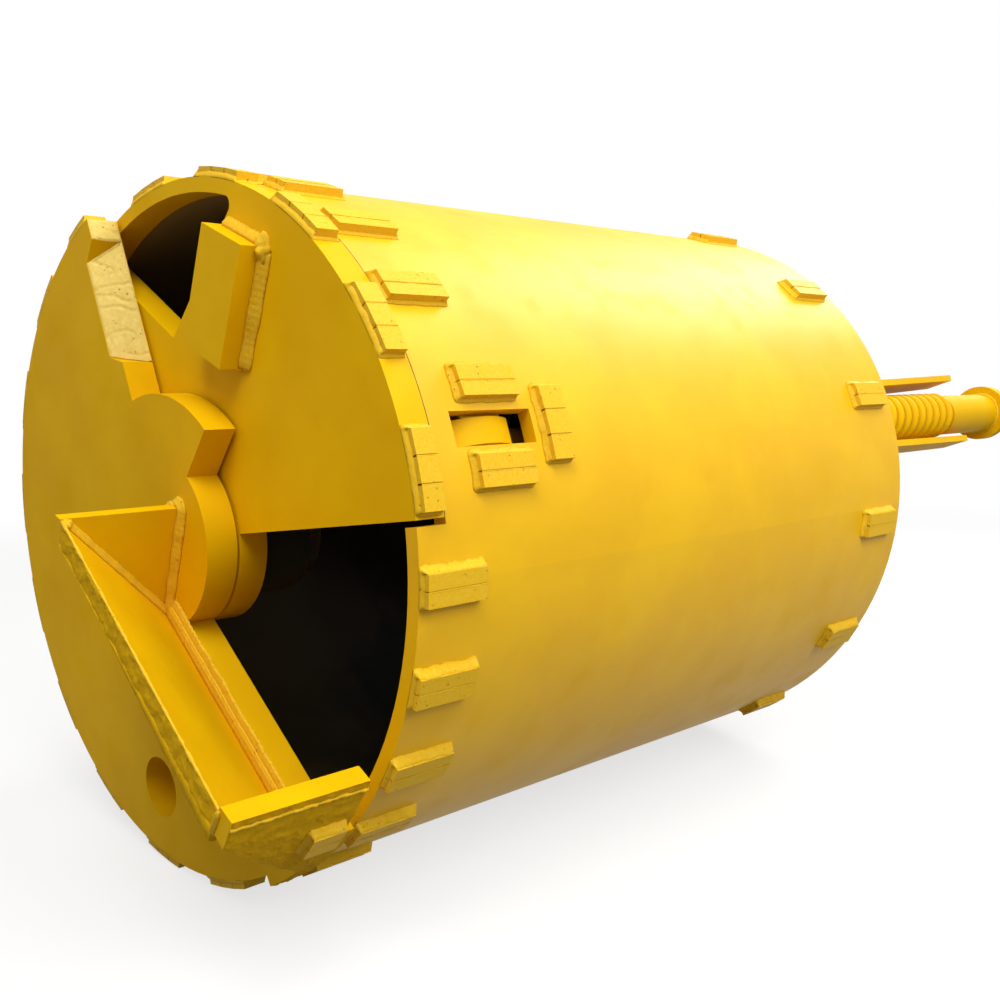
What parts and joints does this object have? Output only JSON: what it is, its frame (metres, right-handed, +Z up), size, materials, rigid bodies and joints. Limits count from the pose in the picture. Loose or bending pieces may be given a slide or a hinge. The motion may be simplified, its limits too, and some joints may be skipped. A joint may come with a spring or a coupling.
{
  "type": "pile cleaning bucket",
  "caption": "Rotary-drilling cleaning bucket lying on its side: steel barrel, hinged bottom gate, turning cleaning plate with scoop, kelly box and sprung push rod with latch.",
  "frame": {"origin": "centre of the kelly box's mouth, on the bucket's axis", "axes": "+Y along the axis out of the kelly box, +Z up as the bucket lies, -Y towards the bottom plates"},
  "size_m": [1.0903, 1.98, 1.0229],
  "materials": {
    "painted_barrel": "yellow enamel on rolled plate",
    "painted_bottom": "yellow enamel on flame-cut plate",
    "painted_fittings": "yellow enamel",
    "painted_strips": "yellow enamel over hard-faced bars",
    "pin_steel": "greased turned steel"
  },
  "bodies": {
    "barrel": {"shell": "painted_barrel", "top_plate": "painted_barrel", "kelly_box": "painted_barrel", "kelly_doubler": "painted_barrel", "kelly_gusset_1": "painted_barrel", "kelly_gusset_2": "painted_barrel", "kelly_gusset_3": "painted_barrel", "kelly_gusset_4": "painted_barrel", "tongue_wear_strips": "painted_strips", "front_wear_strips": "painted_strips", "front_rest_strips": "painted_strips", "rear_wear_strips": "painted_strips", "rear_rest_strips": "painted_strips", "window_side_strips": "painted_strips", "window_end_strip": "painted_strips", "latch_ears": "painted_barrel", "latch_pin": "pin_steel", "rod_bush": "painted_fittings", "rod_guard_upper": "painted_fittings", "rod_guard_lower": "painted_fittings", "rod_guide_ring": "painted_barrel", "return_spring": "painted_fittings", "shell_hinge_lugs": "painted_fittings", "hinge_pin": "pin_steel"},
    "gate": {"gate_plate": "painted_bottom", "stop_block": "painted_bottom", "king_housing": "painted_bottom", "keeper": "painted_bottom", "gate_hinge_lugs": "painted_fittings", "gate_wear_strips": "painted_strips"},
    "cleaning_bottom": {"cleaning_plate": "painted_bottom", "scoop_blade": "painted_bottom", "scoop_gusset": "painted_bottom", "scoop_end_plate": "painted_bottom", "scoop_wear_strip": "painted_strips", "cleaning_wear_strips": "painted_strips", "king_pin": "pin_steel"},
    "push_rod": {"push_rod": "painted_fittings", "push_sleeve": "painted_fittings", "push_cap": "painted_fittings"},
    "latch": {"latch_lever": "painted_fittings"}
  },
  "joints": [
    {"name": "gate_swing", "type": "hinge", "parent": "barrel", "child": "gate", "pos_m": [-0.50931, -1.465, -0.18538], "axis": [0.342, 0, -0.9397], "range_deg": [0, 90]},
    {"name": "cleaning_plate_turn", "type": "hinge", "parent": "gate", "child": "cleaning_bottom", "pos_m": [0, -1.515, 0], "axis": [0, -1, 0], "range_deg": [-30, 105]},
    {"name": "push_rod_press", "type": "slide", "parent": "barrel", "child": "push_rod", "axis": [0, -1, 0], "range_m": [0, 0.036], "stiffness_N_per_m": 140000, "springref_m": -0.02, "deforming": ["return_spring"]},
    {"name": "latch_turn", "type": "hinge", "parent": "barrel", "child": "latch", "pos_m": [0.37516, -1.36, 0.13877], "axis": [0.3469, 0, -0.9379], "range_deg": [0, 25.2]}
  ],
  "couplings": [
    {"joint": "latch_turn", "follows": "push_rod_press", "rad_per_m": 12.12}
  ]
}
